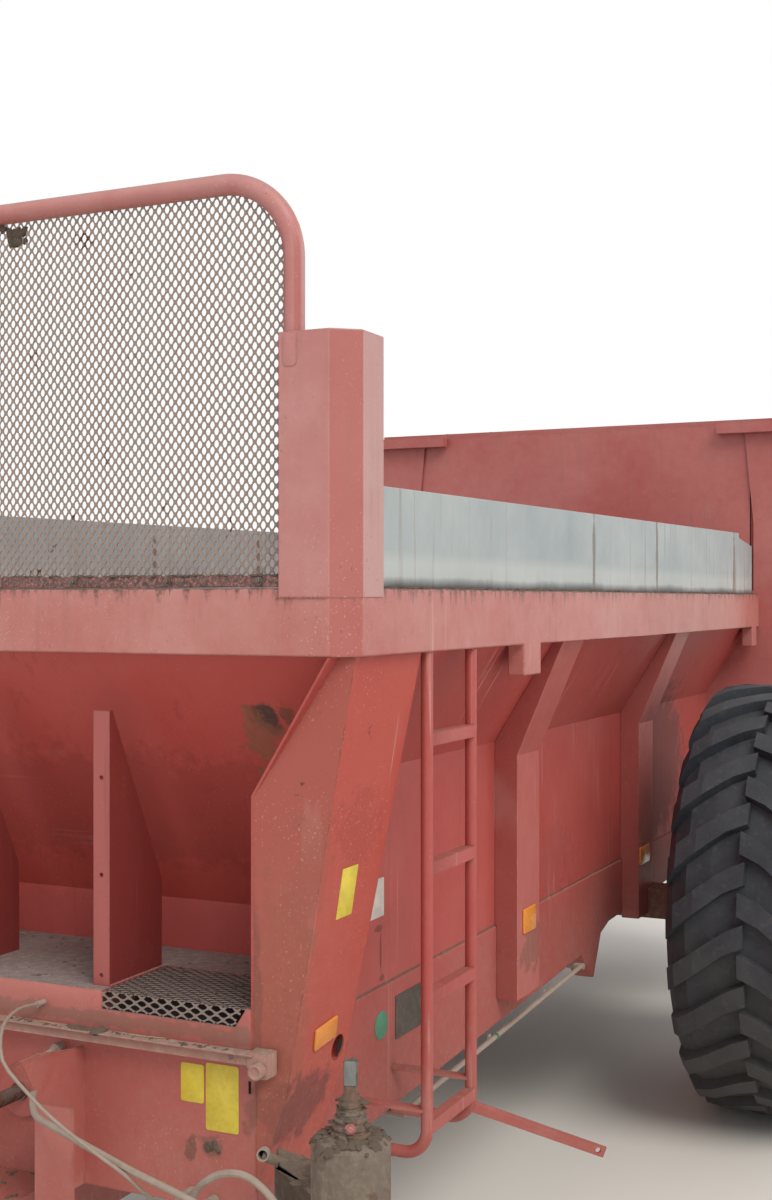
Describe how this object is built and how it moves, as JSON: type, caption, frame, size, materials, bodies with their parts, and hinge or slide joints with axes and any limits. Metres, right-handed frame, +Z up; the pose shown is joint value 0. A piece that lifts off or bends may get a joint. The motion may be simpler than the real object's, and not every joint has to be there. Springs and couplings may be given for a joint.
{
  "type": "manure spreader",
  "caption": "Towed single-axle manure spreader: narrow flared red body with grey boards, mesh front guard, guillotine door and two upright rear beaters on large tractor tyres.",
  "frame": {"origin": "on the ground, midway along and across the whole machine", "axes": "+X forwards to the tow eye, +Y to the machine's left, +Z up"},
  "size_m": [7.18, 3.02, 2.88],
  "materials": {
    "red_paint": "faded and scratched",
    "rim_paint": "chalky and sun-bleached",
    "dark_paint": "dull",
    "grimy_steel": "caked with dirt",
    "bare_steel": "worn",
    "rod_chrome": "polished",
    "board": "weathered, with rust streaks",
    "dusty_hose": "caked with pale dust",
    "tyre": "dusty",
    "wheel_paint": "dusty"
  },
  "bodies": {
    "root": {"side_wall_left": "red_paint", "side_wall_right": "red_paint", "front_wall": "dark_paint", "floor_plate": "dark_paint", "rim_rail": "rim_paint", "corner_posts": "rim_paint", "guard_hoop": "rim_paint", "guard_mesh": "grimy_steel", "side_boards": "board", "corner_cheeks": "red_paint", "side_ribs": "red_paint", "front_webs": "red_paint", "step_platform": "grimy_steel", "step_tread": "grimy_steel", "cross_bar": "grimy_steel", "front_panel": "red_paint", "chassis_rails": "red_paint", "cross_members": "dark_paint", "floor_conveyor": "bare_steel", "conveyor_shafts": "bare_steel", "drawbar": "red_paint", "tow_eye": "bare_steel", "jack_cylinder": "grimy_steel", "hydraulic_lines": "dusty_hose", "axle_beam": "dark_paint", "ladder": "red_paint", "rear_bulkhead": "red_paint", "rear_side_plates": "red_paint", "rear_beams": "dark_paint", "door_guides": "dark_paint", "door_barrels": "grimy_steel", "beater_gearboxes": "grimy_steel", "drive_line": "grimy_steel"},
    "jack": {"jack_leg": "bare_steel"},
    "left_wheel": {"tyre_left": "tyre", "wheel_left": "wheel_paint"},
    "right_wheel": {"tyre_right": "tyre", "wheel_right": "wheel_paint"},
    "rear_door": {"door": "red_paint", "door_rods": "rod_chrome"},
    "left_beater": {"beater_core_left": "red_paint", "beater_flights_left": "red_paint"},
    "right_beater": {"beater_core_right": "red_paint", "beater_flights_right": "red_paint"},
    "pto": {"pto_stub": "bare_steel"}
  },
  "joints": [
    {"name": "jack_slide", "type": "slide", "parent": "root", "child": "jack", "axis": [0, 0, 1], "range_m": [0, 0.3]},
    {"name": "left_wheel_spin", "type": "hinge", "parent": "root", "child": "left_wheel", "pos_m": [-1.205, 1.22, 0.8], "axis": [0, 1, 0], "continuous": true},
    {"name": "right_wheel_spin", "type": "hinge", "parent": "root", "child": "right_wheel", "pos_m": [-1.205, -1.22, 0.8], "axis": [0, 1, 0], "continuous": true},
    {"name": "door_slide", "type": "slide", "parent": "root", "child": "rear_door", "axis": [0, 0, 1], "range_m": [0, 1.3]},
    {"name": "left_beater_turn", "type": "hinge", "parent": "root", "child": "left_beater", "pos_m": [-3.115, 0.52, 0.8], "axis": [0, 0, 1], "continuous": true},
    {"name": "right_beater_turn", "type": "hinge", "parent": "root", "child": "right_beater", "pos_m": [-3.115, -0.52, 0.8], "axis": [0, 0, 1], "continuous": true},
    {"name": "pto_turn", "type": "hinge", "parent": "root", "child": "pto", "pos_m": [1.8, 0, 0.76], "axis": [1, 0, 0], "continuous": true}
  ],
  "couplings": [
    {"joint": "right_beater_turn", "follows": "left_beater_turn", "ratio": -1},
    {"joint": "pto_turn", "follows": "left_beater_turn", "ratio": 2.5}
  ]
}
